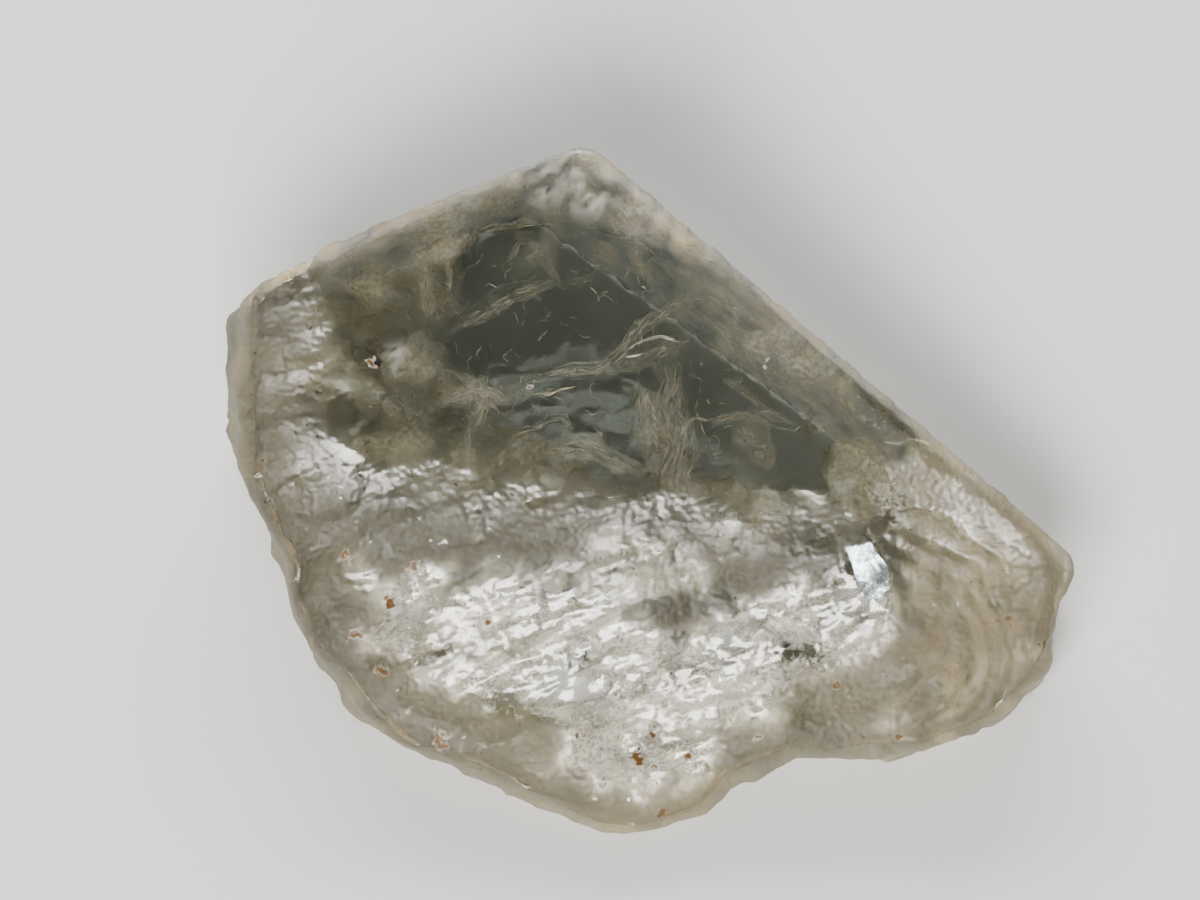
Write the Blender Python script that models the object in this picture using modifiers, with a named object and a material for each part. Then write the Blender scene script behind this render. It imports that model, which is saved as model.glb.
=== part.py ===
"""A broken piece of a colourless beryl (goshenite) crystal, lying on its flat back.

The piece is modelled in a slab frame, in millimetres: u to the right, v up the broad front face
and n out of that face. The front leans back by TILT, so the slab is a wedge: thick under the two
long prism faces behind, thin at the scalloped edge in front. The origin is on the base.
"""

import math

import bmesh
import bpy
from mathutils import Matrix, Vector, noise

NAME = "goshenite_crystal"
MM = 0.001
TILT = math.radians(18.0)  # how far the front face leans back from level
SLAB_ORIGIN = (0.32, -1.36, 9.6)  # the slab frame's origin, with the footprint's middle at 0, 0, mm
SLAB_DEPTH = 24.0  # more than the piece is thick, before the base is cut, mm

# The outline seen square to the front face, clockwise from the apex (u, v), mm
UPPER_EDGES = [(-3.74, 17.79), (-2.82, 17.41), (8.9, 7.95), (20.51, -1.67)]
RIGHT_END = [(21.18, -2.49), (21.64, -3.62), (21.59, -5.05), (21.08, -7.62), (20.26, -9.15)]
LOWER_RIGHT = [(18.82, -10.59), (17.69, -11.82), (16.41, -12.59), (13.59, -13.56),
               (10.77, -13.41), (8.72, -13.77), (7.33, -13.62), (6.15, -14.13)]
LOWER_LIP = [(3.85, -15.0), (3.23, -15.92), (2.31, -16.74), (0.0, -17.56), (-1.54, -17.82),
             (-2.82, -17.72), (-4.87, -16.74), (-7.69, -15.26)]
LOWER_LEFT = [(-10.26, -14.13), (-11.54, -13.82), (-13.08, -13.31), (-14.1, -12.38),
              (-16.26, -9.56), (-17.18, -8.64), (-18.0, -7.41), (-18.77, -5.56)]
LEFT_FLANK = [(-18.92, -4.13), (-20.0, -1.21), (-21.28, 1.72), (-21.54, 4.69), (-21.64, 6.33),
              (-21.59, 8.79), (-21.28, 9.87), (-19.85, 11.21), (-18.62, 12.08)]
BROKEN_RIM = RIGHT_END + LOWER_RIGHT + LOWER_LIP + LOWER_LEFT + LEFT_FLANK
OUTLINE = UPPER_EDGES + BROKEN_RIM

# Flat faces: a point (u, v, n), the turn of the edge in the slab's plane and the lean back of
# the face, both in degrees; a lean over 0 tucks the face under the front
UPPER_LEFT_PRISM = ((-10.0, 15.67, 0.0), 23.9, 9.0)
UPPER_RIGHT_PRISM = ((8.9, 7.95, 0.0), -39.3, 18.0)
THIRD_PRISM = ((-20.9, 6.0, 0.0), 91.0, -12.0)
END_FACET = ((20.2, -5.5, -0.6), -103.0, -48.0)
APEX_FACET = ((-0.6, 15.3, 0.0), -43.0, -42.0)
FLAT_FACES = {"upper_left_prism": UPPER_LEFT_PRISM, "upper_right_prism": UPPER_RIGHT_PRISM,
              "third_prism": THIRD_PRISM, "end_facet": END_FACET, "apex_facet": APEX_FACET}

DOME_RADIUS = 88.0  # the front's swell below its flat part, mm
DOME_TOP = 3.0  # v where the swell begins to fall away
DOME_STEPS = 16

# Shell-like hollows struck out of the front: u, v, radius of the rim and depth, mm
FRONT_SCOOPS = [(15.6, -4.6, 5.6, 0.9), (9.8, -10.6, 4.4, 0.7), (0.4, -13.6, 4.4, 0.65),
                (-9.8, -10.8, 5.2, 0.8), (-17.6, -1.8, 4.2, 0.7), (3.4, -7.4, 4.0, 0.45)]
# Hollows under the rim: u, v, height over the base, radius of the ball and how far it cuts in
RIM_SCOOPS = [(21.5, -5.0, 2.6, 6.0, 1.6), (13.0, -13.6, 0.2, 5.0, 1.1), (-12.5, -13.4, 0.4, 5.0, 1.2),
              (-20.5, 0.0, 2.6, 7.0, 1.6), (-18.0, -7.0, 1.2, 5.0, 1.2), (-20.5, 10.5, 2.4, 5.0, 1.3)]
# Nicks in the edges of the front: u, v, radius of the ball and how far it cuts in, mm
EDGE_NICKS = [(-9.7, 15.8, 2.4, 0.35), (-15.2, 13.4, 1.8, 0.3), (2.7, 13.0, 2.2, 0.35),
              (13.4, 4.3, 2.6, 0.3), (-3.3, 17.7, 1.8, 0.3)]
# Etch pits in the prism faces: which face, place along its edge, depth below the front,
# half length, half width and depth, mm
PITS = [("upper_right_prism", -9.2, 2.6, 2.3, 0.6, 0.4), ("upper_right_prism", -4.2, 5.0, 1.6, 0.5, 0.3),
        ("upper_right_prism", -1.8, 3.2, 1.2, 0.5, 0.3), ("upper_right_prism", 4.0, 6.0, 2.4, 0.6, 0.35),
        ("upper_right_prism", 8.8, 3.6, 1.7, 0.6, 0.35), ("upper_left_prism", -4.4, 3.2, 1.7, 0.5, 0.35),
        ("upper_left_prism", 1.8, 7.2, 2.2, 0.6, 0.35), ("upper_left_prism", 4.6, 2.4, 1.2, 0.5, 0.3)]
LIP_WIDTH = 2.4  # how far in from the broken rim the front rounds over, mm
LIP_DROP = 0.75  # and how far it falls there
BASE_HOLLOW = 0.9  # how deep the low places of the base are, mm
BASE_REACH = 8.0  # and about how wide

# Relief of the broken parts, each as spacing and height, mm
WALL_CHIPS = [(4.6, 0.8), (2.0, 0.34)]
FRONT_LEDGES = [(3.0, 0.46), (1.3, 0.18)]
GRAIN = (1.1, 0.08)
CLEAR_GRAIN = 0.02  # height of the grain on the clear upper front
GROOVES = (1.1, 0.09)  # growth grooves of the prism faces
LEDGE_TURN = math.radians(22.0)  # the ledges run up to the right across the front
LEDGE_STRETCH = 2.4  # and are this much longer than wide

VOXEL = 0.34  # mm
TRIANGLES = 9400
PRESS = 0.16  # points lower than this are pressed flat into the base, mm
SEED = Vector((3.7, 11.2, 5.9))


def slab_matrix():
    return Matrix.Translation(Vector(SLAB_ORIGIN) * MM) @ Matrix.Rotation(TILT, 4, "X")


def to_world(place):
    """A point of the slab frame, in mm, as a world point in metres."""
    return slab_matrix() @ (Vector(place) * MM)


def to_slab(place):
    """A world point in metres as a point of the slab frame, in mm."""
    return (slab_matrix().inverted() @ place) / MM


def clear_scene():
    for ob in list(bpy.data.objects):
        bpy.data.objects.remove(ob, do_unlink=True)


def new_collection(name):
    made = bpy.data.collections.new(name)
    bpy.context.scene.collection.children.link(made)
    return made


def evaluated_mesh(ob):
    """A mesh of the object as its modifiers leave it."""
    bpy.context.view_layer.update()
    return bpy.data.meshes.new_from_object(ob.evaluated_get(bpy.context.evaluated_depsgraph_get()))


def extruded(name, points, depth, matrix):
    """A closed plate: the outline in its own plane, half its depth to each side."""
    curve = bpy.data.curves.new(name, "CURVE")
    curve.dimensions = "2D"
    curve.fill_mode = "BOTH"
    curve.extrude = depth / 2 * MM
    spline = curve.splines.new("POLY")
    spline.points.add(len(points) - 1)
    for point, (x, y) in zip(spline.points, points):
        point.co = (x * MM, y * MM, 0, 1)
    spline.use_cyclic_u = True
    drawn = bpy.data.objects.new(name + "_outline", curve)
    bpy.context.scene.collection.objects.link(drawn)
    drawn.matrix_world = matrix
    mesh = evaluated_mesh(drawn)
    bm = bmesh.new()
    bm.from_mesh(mesh)
    bmesh.ops.remove_doubles(bm, verts=bm.verts, dist=1e-6)
    bmesh.ops.recalc_face_normals(bm, faces=bm.faces)
    bm.to_mesh(mesh)
    bm.free()
    plate = bpy.data.objects.new(name, mesh)
    plate.matrix_world = drawn.matrix_world.copy()
    bpy.data.objects.remove(drawn, do_unlink=True)
    return plate


def as_cutter(cutter, collection):
    cutter.hide_render = True
    cutter.display_type = "WIRE"
    collection.objects.link(cutter)
    return cutter


def block_cutter(name, point, outward, collection, width=0.12):
    """A block that takes away what lies outside a plane, up to its own width."""
    mesh = bpy.data.meshes.new(name)
    bm = bmesh.new()
    bmesh.ops.create_cube(bm, size=width)
    bmesh.ops.translate(bm, verts=bm.verts, vec=(0, 0, width / 2))
    bm.to_mesh(mesh)
    bm.free()
    block = bpy.data.objects.new(name, mesh)
    turn = outward.to_track_quat("Z", "Y").to_matrix().to_4x4()
    block.matrix_world = Matrix.Translation(point) @ turn
    return as_cutter(block, collection)


def ball_cutter(name, centre, radius, collection):
    mesh = bpy.data.meshes.new(name)
    bm = bmesh.new()
    bmesh.ops.create_uvsphere(bm, u_segments=64, v_segments=32, radius=radius * MM)
    bm.to_mesh(mesh)
    bm.free()
    ball = bpy.data.objects.new(name, mesh)
    ball.matrix_world = Matrix.Translation(centre)
    return as_cutter(ball, collection)


def face_plane(face):
    """The slab-frame point and outward normal of a flat face."""
    point, turn, lean = face
    turn, lean = math.radians(turn), math.radians(lean)
    side = Vector((-math.sin(turn), math.cos(turn), 0)) * math.cos(lean)
    return Vector(point), (side - Vector((0, 0, math.sin(lean)))).normalized()


def dome_drop(v):
    """How far the front has fallen away from flat at height v on the slab."""
    below = max(0.0, DOME_TOP - v)
    return DOME_RADIUS - math.sqrt(DOME_RADIUS**2 - below**2)


def dome_cutter(collection):
    """The air over the front's swell: its profile up the slab, drawn out across the piece."""
    reach, lowest = 30.0, -25.0
    arc = [DOME_TOP + (lowest - DOME_TOP) * i / DOME_STEPS for i in range(DOME_STEPS + 1)]
    profile = [(v, -dome_drop(v)) for v in arc] + [(lowest, reach), (reach, reach), (reach, 0.0)]
    across = slab_matrix() @ Matrix.Rotation(math.radians(90), 4, "Z") @ Matrix.Rotation(
        math.radians(90), 4, "X")
    return as_cutter(extruded("front_swell", profile, 80.0, across), collection)


def scoop_cutter(name, scoop, collection):
    """A ball sunk into the front so that its rim has the scoop's radius."""
    u, v, rim, depth = scoop
    radius = (rim**2 + depth**2) / (2 * depth)
    return ball_cutter(name, to_world((u, v, radius - depth - dome_drop(v))), radius, collection)


def rim_cutter(name, scoop, collection):
    """A ball that bites into the wall below the rim, away from the middle of the piece."""
    u, v, height, radius, bite = scoop
    edge = to_world((u, v, 0))
    outward = Vector((edge.x, edge.y, 0)).normalized()
    centre = Vector((edge.x, edge.y, height * MM)) + outward * (radius - bite) * MM
    return ball_cutter(name, centre, radius, collection)


def nick_cutter(name, nick, collection):
    """A small ball that bites into an edge of the front from outside and above."""
    u, v, radius, bite = nick
    outward = (Vector((u, v, 0)).normalized() + Vector((0, 0, 1))).normalized()
    return ball_cutter(name, to_world(Vector((u, v, 0)) + outward * (radius - bite)), radius, collection)


def cut(body, cutters):
    for cutter in cutters:
        step = body.modifiers.new(cutter.name, "BOOLEAN")
        step.operation = "DIFFERENCE"
        step.object = cutter
        step.solver = "EXACT"


def remesh(body, rounds):
    """An even mesh, its edges worn round by a few rounds of smoothing."""
    step = body.modifiers.new("even_mesh", "REMESH")
    step.mode = "VOXEL"
    step.voxel_size = VOXEL * MM
    worn = body.modifiers.new("worn_edges", "SMOOTH")
    worn.factor = 0.5
    worn.iterations = rounds


def settle(body):
    """Turns the modifiers so far into a plain mesh in world space."""
    mesh = evaluated_mesh(body)
    mesh.transform(body.matrix_world)
    body.modifiers.clear()
    body.data = mesh
    body.matrix_world = Matrix.Identity(4)


def smooth_step(low, high, value):
    t = min(1.0, max(0.0, (value - low) / (high - low)))
    return t * t * (3 - 2 * t)


def chips(place, sizes):
    """Bowls that meet at ridges, as where flakes have come off, in mm about their mean."""
    mean = 0.3
    total = 0.0
    for spacing, height in sizes:
        nearest = noise.voronoi(place / spacing + SEED)[0][0]
        total += height * (min(1.0, 1.6 * nearest**2) - mean)
    return total


def near_face(place, face):
    """1 on a flat face and 0 well inside it."""
    point, outward = face_plane(face)
    return 1 - smooth_step(0.25, 1.0, abs((place - point).dot(outward)))


def along_ledges(place):
    """A place seen along the ledges of the broken front, so that what is read there is drawn out."""
    turned = Matrix.Rotation(-LEDGE_TURN, 3, "Z") @ place
    return Vector((turned.x / LEDGE_STRETCH, turned.y, turned.z))


def rim_distance(place):
    """How far a place lies in from the broken part of the outline, in mm."""
    spot = place.xy
    nearest = LIP_WIDTH
    for a, b in zip(BROKEN_RIM, BROKEN_RIM[1:]):
        a, side = Vector(a), Vector(b) - Vector(a)
        t = min(1.0, max(0.0, (spot - a).dot(side) / side.length_squared))
        nearest = min(nearest, (spot - a - side * t).length)
    return nearest


def pits(place):
    """Depth of the etch pits at a place, in mm."""
    deepest = 0.0
    for name, along, below, half_length, half_width, depth in PITS:
        point, turn, _ = FLAT_FACES[name]
        edge = Vector((math.cos(math.radians(turn)), math.sin(math.radians(turn)), 0))
        s = ((place - Vector(point)).dot(edge) - along) / half_length
        t = (-place.z - below) / half_width
        deepest = max(deepest, depth * smooth_step(0.0, 0.6, 1 - math.hypot(s, t)))
    return deepest


def clear_part(place):
    """1 on the flat clear upper part of the front, 0 on its broken lower part and left flank."""
    return smooth_step(-4.0, 2.0, place.y + 0.12 * place.x) * smooth_step(-20.0, -15.0, place.x)


def relief(place, height):
    """How far the surface stands out at a point of the slab frame, in mm."""
    under = -place.z - dome_drop(place.y)
    front = 1 - smooth_step(0.5, 1.8, abs(under))
    prism = max(near_face(place, UPPER_LEFT_PRISM), near_face(place, UPPER_RIGHT_PRISM))
    wall = (1 - prism) * (1 - front)
    clear = clear_part(place)
    wall_relief = chips(place, WALL_CHIPS) * (0.45 + 0.55 * smooth_step(1.0, 3.5, under))
    lip = LIP_DROP * (1 - smooth_step(0.0, LIP_WIDTH, rim_distance(place))) ** 2
    front_relief = (1 - clear) * chips(along_ledges(place), FRONT_LEDGES) - lip
    grain = noise.fractal(place / GRAIN[0], 0.9, 2.1, 3)
    grain_height = GRAIN[1] * (wall + front * (1 - clear)) + CLEAR_GRAIN * front * clear
    down_face = Vector((place.x, place.y, place.z / 8)) / GROOVES[0] + SEED
    prism_relief = GROOVES[1] * noise.fractal(down_face, 0.8, 2.2, 3) - pits(place)
    ground = smooth_step(0.15, 1.3, height)
    shaped = wall * wall_relief + front * front_relief + prism * prism_relief
    return ground * (shaped + grain_height * grain)


def base_hollow(place):
    """How high the base stands off the ground at a world place in mm: 0 over most of it."""
    spot = Vector((place.x, place.y, 0.0)) / BASE_REACH + SEED
    return BASE_HOLLOW * smooth_step(0.04, 0.6, noise.fractal(spot, 0.8, 2.1, 3))


def roughen(body):
    """Moves each point along its normal by the relief there, and hollows the base."""
    mesh = body.data
    normals = [v.normal.copy() for v in mesh.vertices]
    for vertex, normal in zip(mesh.vertices, normals):
        height = vertex.co.z / MM
        vertex.co += normal * relief(to_slab(vertex.co), height) * MM
        if height < PRESS:
            vertex.co.z = base_hollow(vertex.co / MM) * MM


def press_base(body, height):
    """Points lower than this height, in mm, become part of the flat base."""
    for vertex in body.data.vertices:
        if vertex.co.z < height * MM:
            vertex.co.z = 0.0


def thin_out(body):
    """Fewer triangles, where the surface is flat or gentle."""
    triangles = sum(len(p.vertices) - 2 for p in body.data.polygons)
    step = body.modifiers.new("fewer_triangles", "DECIMATE")
    step.ratio = TRIANGLES / triangles
    step.use_collapse_triangulate = True


def beryl():
    mat = bpy.data.materials.new("goshenite")
    mat.use_nodes = True
    shader = mat.node_tree.nodes["Principled BSDF"]
    shader.inputs["Base Color"].default_value = (0.83, 0.82, 0.74, 1)
    shader.inputs["Metallic"].default_value = 0.0
    shader.inputs["Roughness"].default_value = 0.18
    shader.inputs["IOR"].default_value = 1.58
    shader.inputs["Transmission Weight"].default_value = 0.8
    return mat


def crystal(parts, cutters):
    body = extruded(NAME, OUTLINE, SLAB_DEPTH,
                    slab_matrix() @ Matrix.Translation((0, 0, -SLAB_DEPTH / 2 * MM)))
    parts.objects.link(body)
    tools = [block_cutter("base", Vector((0, 0, 0)), Vector((0, 0, -1)), cutters)]
    lean = Matrix.Rotation(TILT, 3, "X")
    for name, face in FLAT_FACES.items():
        point, outward = face_plane(face)
        tools.append(block_cutter(name, to_world(point), lean @ outward, cutters))
    tools.append(dome_cutter(cutters))
    for name, make, rows in (("front_scoop", scoop_cutter, FRONT_SCOOPS),
                             ("rim_scoop", rim_cutter, RIM_SCOOPS),
                             ("edge_nick", nick_cutter, EDGE_NICKS)):
        tools += [make(f"{name}_{i}", row, cutters) for i, row in enumerate(rows)]
    cut(body, tools)
    remesh(body, 3)
    settle(body)
    roughen(body)
    remesh(body, 1)
    settle(body)
    press_base(body, PRESS)
    thin_out(body)
    settle(body)
    press_base(body, PRESS / 4)
    body.data.name = NAME
    body.data.materials.append(beryl())


def main():
    clear_scene()
    parts = new_collection("goshenite")
    cutters = new_collection("cutters")
    crystal(parts, cutters)


main()
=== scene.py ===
"""Looks of the goshenite specimen: its fine surface, clear and milky beryl, inner fractures and stains.

Shapes are worked out in the slab frame of the piece, in millimetres: u to the right, v up the broad
front face and n out of it. The camera looks square at that face.
"""
import math

import bmesh
import bpy
import numpy as np
from mathutils import Matrix, Vector, noise
from mathutils.bvhtree import BVHTree


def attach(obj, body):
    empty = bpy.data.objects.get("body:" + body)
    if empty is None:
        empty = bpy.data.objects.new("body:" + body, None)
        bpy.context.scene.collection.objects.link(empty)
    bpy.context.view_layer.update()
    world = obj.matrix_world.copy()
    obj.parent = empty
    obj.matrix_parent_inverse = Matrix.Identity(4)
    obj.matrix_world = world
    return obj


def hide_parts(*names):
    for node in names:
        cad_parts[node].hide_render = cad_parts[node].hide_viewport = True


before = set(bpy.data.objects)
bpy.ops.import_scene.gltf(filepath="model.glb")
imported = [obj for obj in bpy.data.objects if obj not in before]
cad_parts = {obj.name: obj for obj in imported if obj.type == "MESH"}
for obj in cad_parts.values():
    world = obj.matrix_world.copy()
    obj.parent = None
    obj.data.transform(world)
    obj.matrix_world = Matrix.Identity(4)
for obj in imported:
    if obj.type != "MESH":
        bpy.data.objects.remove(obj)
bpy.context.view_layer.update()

NODE = "goshenite_crystal"
MM = 0.001
TILT = math.radians(18.0)
SLAB_ORIGIN = (0.32, -1.36, 9.6)
SLAB_DEPTH = 24.0

# The outline seen square to the front face, clockwise from the apex (u, v), mm
UPPER_EDGES = [(-3.74, 17.79), (-2.82, 17.41), (8.9, 7.95), (20.51, -1.67)]
RIGHT_END = [(21.18, -2.49), (21.64, -3.62), (21.59, -5.05), (21.08, -7.62), (20.26, -9.15)]
LOWER_RIGHT = [(18.82, -10.59), (17.69, -11.82), (16.41, -12.59), (13.59, -13.56),
               (10.77, -13.41), (8.72, -13.77), (7.33, -13.62), (6.15, -14.13)]
LOWER_LIP = [(3.85, -15.0), (3.23, -15.92), (2.31, -16.74), (0.0, -17.56), (-1.54, -17.82),
             (-2.82, -17.72), (-4.87, -16.74), (-7.69, -15.26)]
LOWER_LEFT = [(-10.26, -14.13), (-11.54, -13.82), (-13.08, -13.31), (-14.1, -12.38),
              (-16.26, -9.56), (-17.18, -8.64), (-18.0, -7.41), (-18.77, -5.56)]
LEFT_FLANK = [(-18.92, -4.13), (-20.0, -1.21), (-21.28, 1.72), (-21.54, 4.69), (-21.64, 6.33),
              (-21.59, 8.79), (-21.28, 9.87), (-19.85, 11.21), (-18.62, 12.08)]
BROKEN_RIM = RIGHT_END + LOWER_RIGHT + LOWER_LIP + LOWER_LEFT + LEFT_FLANK
OUTLINE = UPPER_EDGES + BROKEN_RIM

# Flat faces: a point (u, v, n), the turn of the edge in the slab's plane and the lean back of
# the face, both in degrees; a lean over 0 tucks the face under the front
UPPER_LEFT_PRISM = ((-10.0, 15.67, 0.0), 23.9, 9.0)
UPPER_RIGHT_PRISM = ((8.9, 7.95, 0.0), -39.3, 18.0)
THIRD_PRISM = ((-20.9, 6.0, 0.0), 91.0, -12.0)
END_FACET = ((20.2, -5.5, -0.6), -103.0, -48.0)
APEX_FACET = ((-0.6, 15.3, 0.0), -43.0, -42.0)
FLAT_FACES = {"upper_left_prism": UPPER_LEFT_PRISM, "upper_right_prism": UPPER_RIGHT_PRISM,
              "third_prism": THIRD_PRISM, "end_facet": END_FACET, "apex_facet": APEX_FACET}

DOME_RADIUS = 88.0
DOME_TOP = 3.0
DOME_STEPS = 16

# Shell-like hollows struck out of the front: u, v, radius of the rim and depth, mm
FRONT_SCOOPS = [(15.6, -4.6, 5.6, 0.9), (9.8, -10.6, 4.4, 0.7), (0.4, -13.6, 4.4, 0.65),
                (-9.8, -10.8, 5.2, 0.8), (-17.6, -1.8, 4.2, 0.7), (3.4, -7.4, 4.0, 0.45)]
# Hollows under the rim: u, v, height over the base, radius of the ball and how far it cuts in
RIM_SCOOPS = [(21.5, -5.0, 2.6, 6.0, 1.6), (13.0, -13.6, 0.2, 5.0, 1.1), (-12.5, -13.4, 0.4, 5.0, 1.2),
              (-20.5, 0.0, 2.6, 7.0, 1.6), (-18.0, -7.0, 1.2, 5.0, 1.2), (-20.5, 10.5, 2.4, 5.0, 1.3)]
# Nicks in the edges of the front: u, v, radius of the ball and how far it cuts in, mm
EDGE_NICKS = [(-9.7, 15.8, 2.4, 0.35), (-15.2, 13.4, 1.8, 0.3), (2.7, 13.0, 2.2, 0.35),
              (13.4, 4.3, 2.6, 0.3), (-3.3, 17.7, 1.8, 0.3)]
# Etch pits in the prism faces: which face, place along its edge, depth below the front,
# half length, half width and depth, mm
PITS = [("upper_right_prism", -9.2, 2.6, 2.3, 0.6, 0.4), ("upper_right_prism", -4.2, 5.0, 1.6, 0.5, 0.3),
        ("upper_right_prism", -1.8, 3.2, 1.2, 0.5, 0.3), ("upper_right_prism", 4.0, 6.0, 2.4, 0.6, 0.35),
        ("upper_right_prism", 8.8, 3.6, 1.7, 0.6, 0.35), ("upper_left_prism", -4.4, 3.2, 1.7, 0.5, 0.35),
        ("upper_left_prism", 1.8, 7.2, 2.2, 0.6, 0.35), ("upper_left_prism", 4.6, 2.4, 1.2, 0.5, 0.3)]
LIP_WIDTH = 2.4
LIP_DROP = 0.75
BASE_HOLLOW = 0.9
BASE_REACH = 8.0

WALL_CHIPS = [(4.6, 0.8), (2.0, 0.34)]
FRONT_LEDGES = [(3.0, 0.46), (1.3, 0.18)]
GRAIN = (1.1, 0.08)
CLEAR_GRAIN = 0.02
GROOVES = (1.1, 0.09)
LEDGE_TURN = math.radians(22.0)
LEDGE_STRETCH = 2.4

# Relief finer than the part's, each as spacing and height, mm
FINE_GROOVES = (0.42, 0.035)
MICRO_PITS = (0.9, 0.05)
FINE_CHIPS = [(0.95, 0.13)]
HACKLE = [(1.3, 0.10), (0.55, 0.12)]  # size of the facets and their slope
MATTE_GRAIN = (0.6, 0.06)
RIPPLES = (11.6, -8.2, 3.2, 9.0, 1.15, 0.085)  # u, v, inner and outer radius, spacing and height

FINE_VOXEL = 0.255
REFINED_DEPTH = 1.4  # how far under the front the mesh of the broken part is made finer
PRESS = 0.16
SEED = Vector((3.7, 11.2, 5.9))

# The skin: where the matte left end stops, and where the right one starts, along u, mm
MATTE_LEFT = (-22.0, -17.0)
MATTE_RIGHT = (11.0, 14.5)
TAN_LEFT = (-19.0, -14.0)
RIM_TAN = 0.6  # how tan the broken rim is, where the ends are 1
HALF_POLISHED = 0.9  # how dull the ledges of the left end are
PEARLY = 0.2  # how dull the front is over the silvery fractures
GLOSSY_SPOTS = 0.35  # share of the frost left on the small polished spots of the matte skin
WALL_FROST = 0.7
WALL_DULL = 0.8
PRISM_MILK = 0.3
WALL_MILK = 0.25
FRONT_MILK = 0.06
RIGHT_MILK = 0.1
BASE_WARMTH = 0.45
WARM_DEPTHS = (2.5, 6.0)  # depth under the front at which the warm stains fade, mm

# Optics: beryl's refraction, and how strongly it takes up light, per metre
IOR = 1.58
ABSORPTION = 235.0
GLASS_DEEP = (0.69, 0.705, 0.685, 1)
BUMP_HEIGHT = 0.00022
ROUGHNESS = (0.03, 0.85)  # of the polished and of the frosted skin

# Colours, as pairs that a noise mixes
GLASS_CLEAR = (0.97, 0.97, 0.95, 1)
GLASS_GRAINY = ((0.92, 0.88, 0.76, 1), (0.80, 0.73, 0.56, 1))
GLASS_TAN = (0.50, 0.44, 0.32, 1)
MILK_TINTS = ((0.85, 0.83, 0.76, 1), (0.76, 0.67, 0.48, 1))
WARM_TINT = (0.60, 0.46, 0.29, 1)
RUST = (0.11, 0.062, 0.022, 1)
SILVERY = ((0.97, 0.96, 0.90, 1), (0.90, 0.86, 0.74, 1))
CRACKED_WHITE = ((0.97, 0.97, 0.94, 1), (0.89, 0.87, 0.81, 1))
VEIL_TINTS = ((0.84, 0.80, 0.70, 1), (0.66, 0.59, 0.46, 1))
STRAND_TINTS = ((0.95, 0.93, 0.86, 1), (0.80, 0.74, 0.60, 1))
# White of the strips painted in as glints and highlights on the broken front and right flank
GLINT_TINTS = ((0.97, 0.96, 0.92, 1), (0.86, 0.83, 0.74, 1))
# Near-black colours of the painted shade along edge-on fractures
CRACK_SHADE_TINTS = ((0.05, 0.06, 0.06, 1), (0.10, 0.10, 0.08, 1))
# Blue of the mirror facet: a painted reflection of the sky
SKY_REFLECTION_TINTS = ((0.60, 0.71, 0.80, 1), (0.48, 0.58, 0.68, 1))
HAZE_TINTS = ((0.87, 0.83, 0.72, 1), (0.70, 0.62, 0.46, 1))
FLOOR_GREY = (0.50, 0.50, 0.49, 1)

# Where the etched back is clear: u, v, half length, half width, turn in degrees and how clear
WINDOWS = [(-5.4, 8.6, 6.4, 5.6, 15, 1.0), (-2.6, 3.4, 4.2, 3.2, -20, 1.0),
           (4.6, 3.6, 5.2, 3.4, -35, 0.95), (-14.4, 8.6, 2.4, 1.5, 20, 0.7),
           (-13.0, 5.0, 2.2, 1.4, -10, 0.6), (1.0, 8.4, 4.0, 4.4, -30, 1.0),
           (-17.4, 3.4, 2.2, 2.6, 10, 0.5), (-14.6, -0.6, 2.6, 1.3, 25, 0.55),
           (-18.6, 8.0, 1.4, 2.2, 0, 0.4)]
# Silvery fractures under the lower front, and the clear places in them, as the windows are
FOIL_PATCHES = [(-4.4, -8.8, 9.2, 3.4, -12, 1.0), (4.0, -9.0, 6.4, 3.0, 24, 1.0),
                (-12.8, -6.2, 2.6, 2.2, -50, 0.9), (-3.4, -4.6, 6.0, 1.8, 14, 0.55),
                (9.0, -6.6, 3.2, 2.4, 40, 0.7), (-0.8, -13.2, 4.2, 2.6, 0, 0.85)]
FOIL_HOLES = [(-7.4, -10.8, 1.9, 0.7, -35, 1.0), (7.0, -8.2, 1.5, 0.7, 10, 1.0),
              (9.2, -6.5, 1.1, 0.6, 20, 1.0), (-3.4, -4.4, 1.6, 0.6, 25, 0.8),
              (2.4, -6.4, 1.6, 0.45, 28, 0.8)]
FOIL_BOX = (-17.0, -17.0, 13.0, -1.0)
FOIL_STEP = 0.12
FOIL_LAYERS = [(0.7, 0.42), (1.3, 0.34)]  # depth under the front, mm, and how patchy
FOIL_FOLDS = [(2.6, 0.18), (1.0, 0.22), (0.42, 0.2)]  # size of the facets, mm, and their slope
FACET_EDGE = 14.0  # how sharply one facet gives way to the next
MILK_DEPTH = 1.9
MILK_STEP = 0.3
HAZE_BOX = (-21.0, -17.0, 21.5, 17.5)
HAZE_STEP = 0.3
HAZE_DEPTH = 0.45  # as a share of the thickness
HAZE_DENSITY = 0.8
CLEARANCE = 0.2  # least distance of an inner sheet from the skin, mm
LIFT = 0.12  # how far one sheet stays over the next at a thin edge, mm
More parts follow.
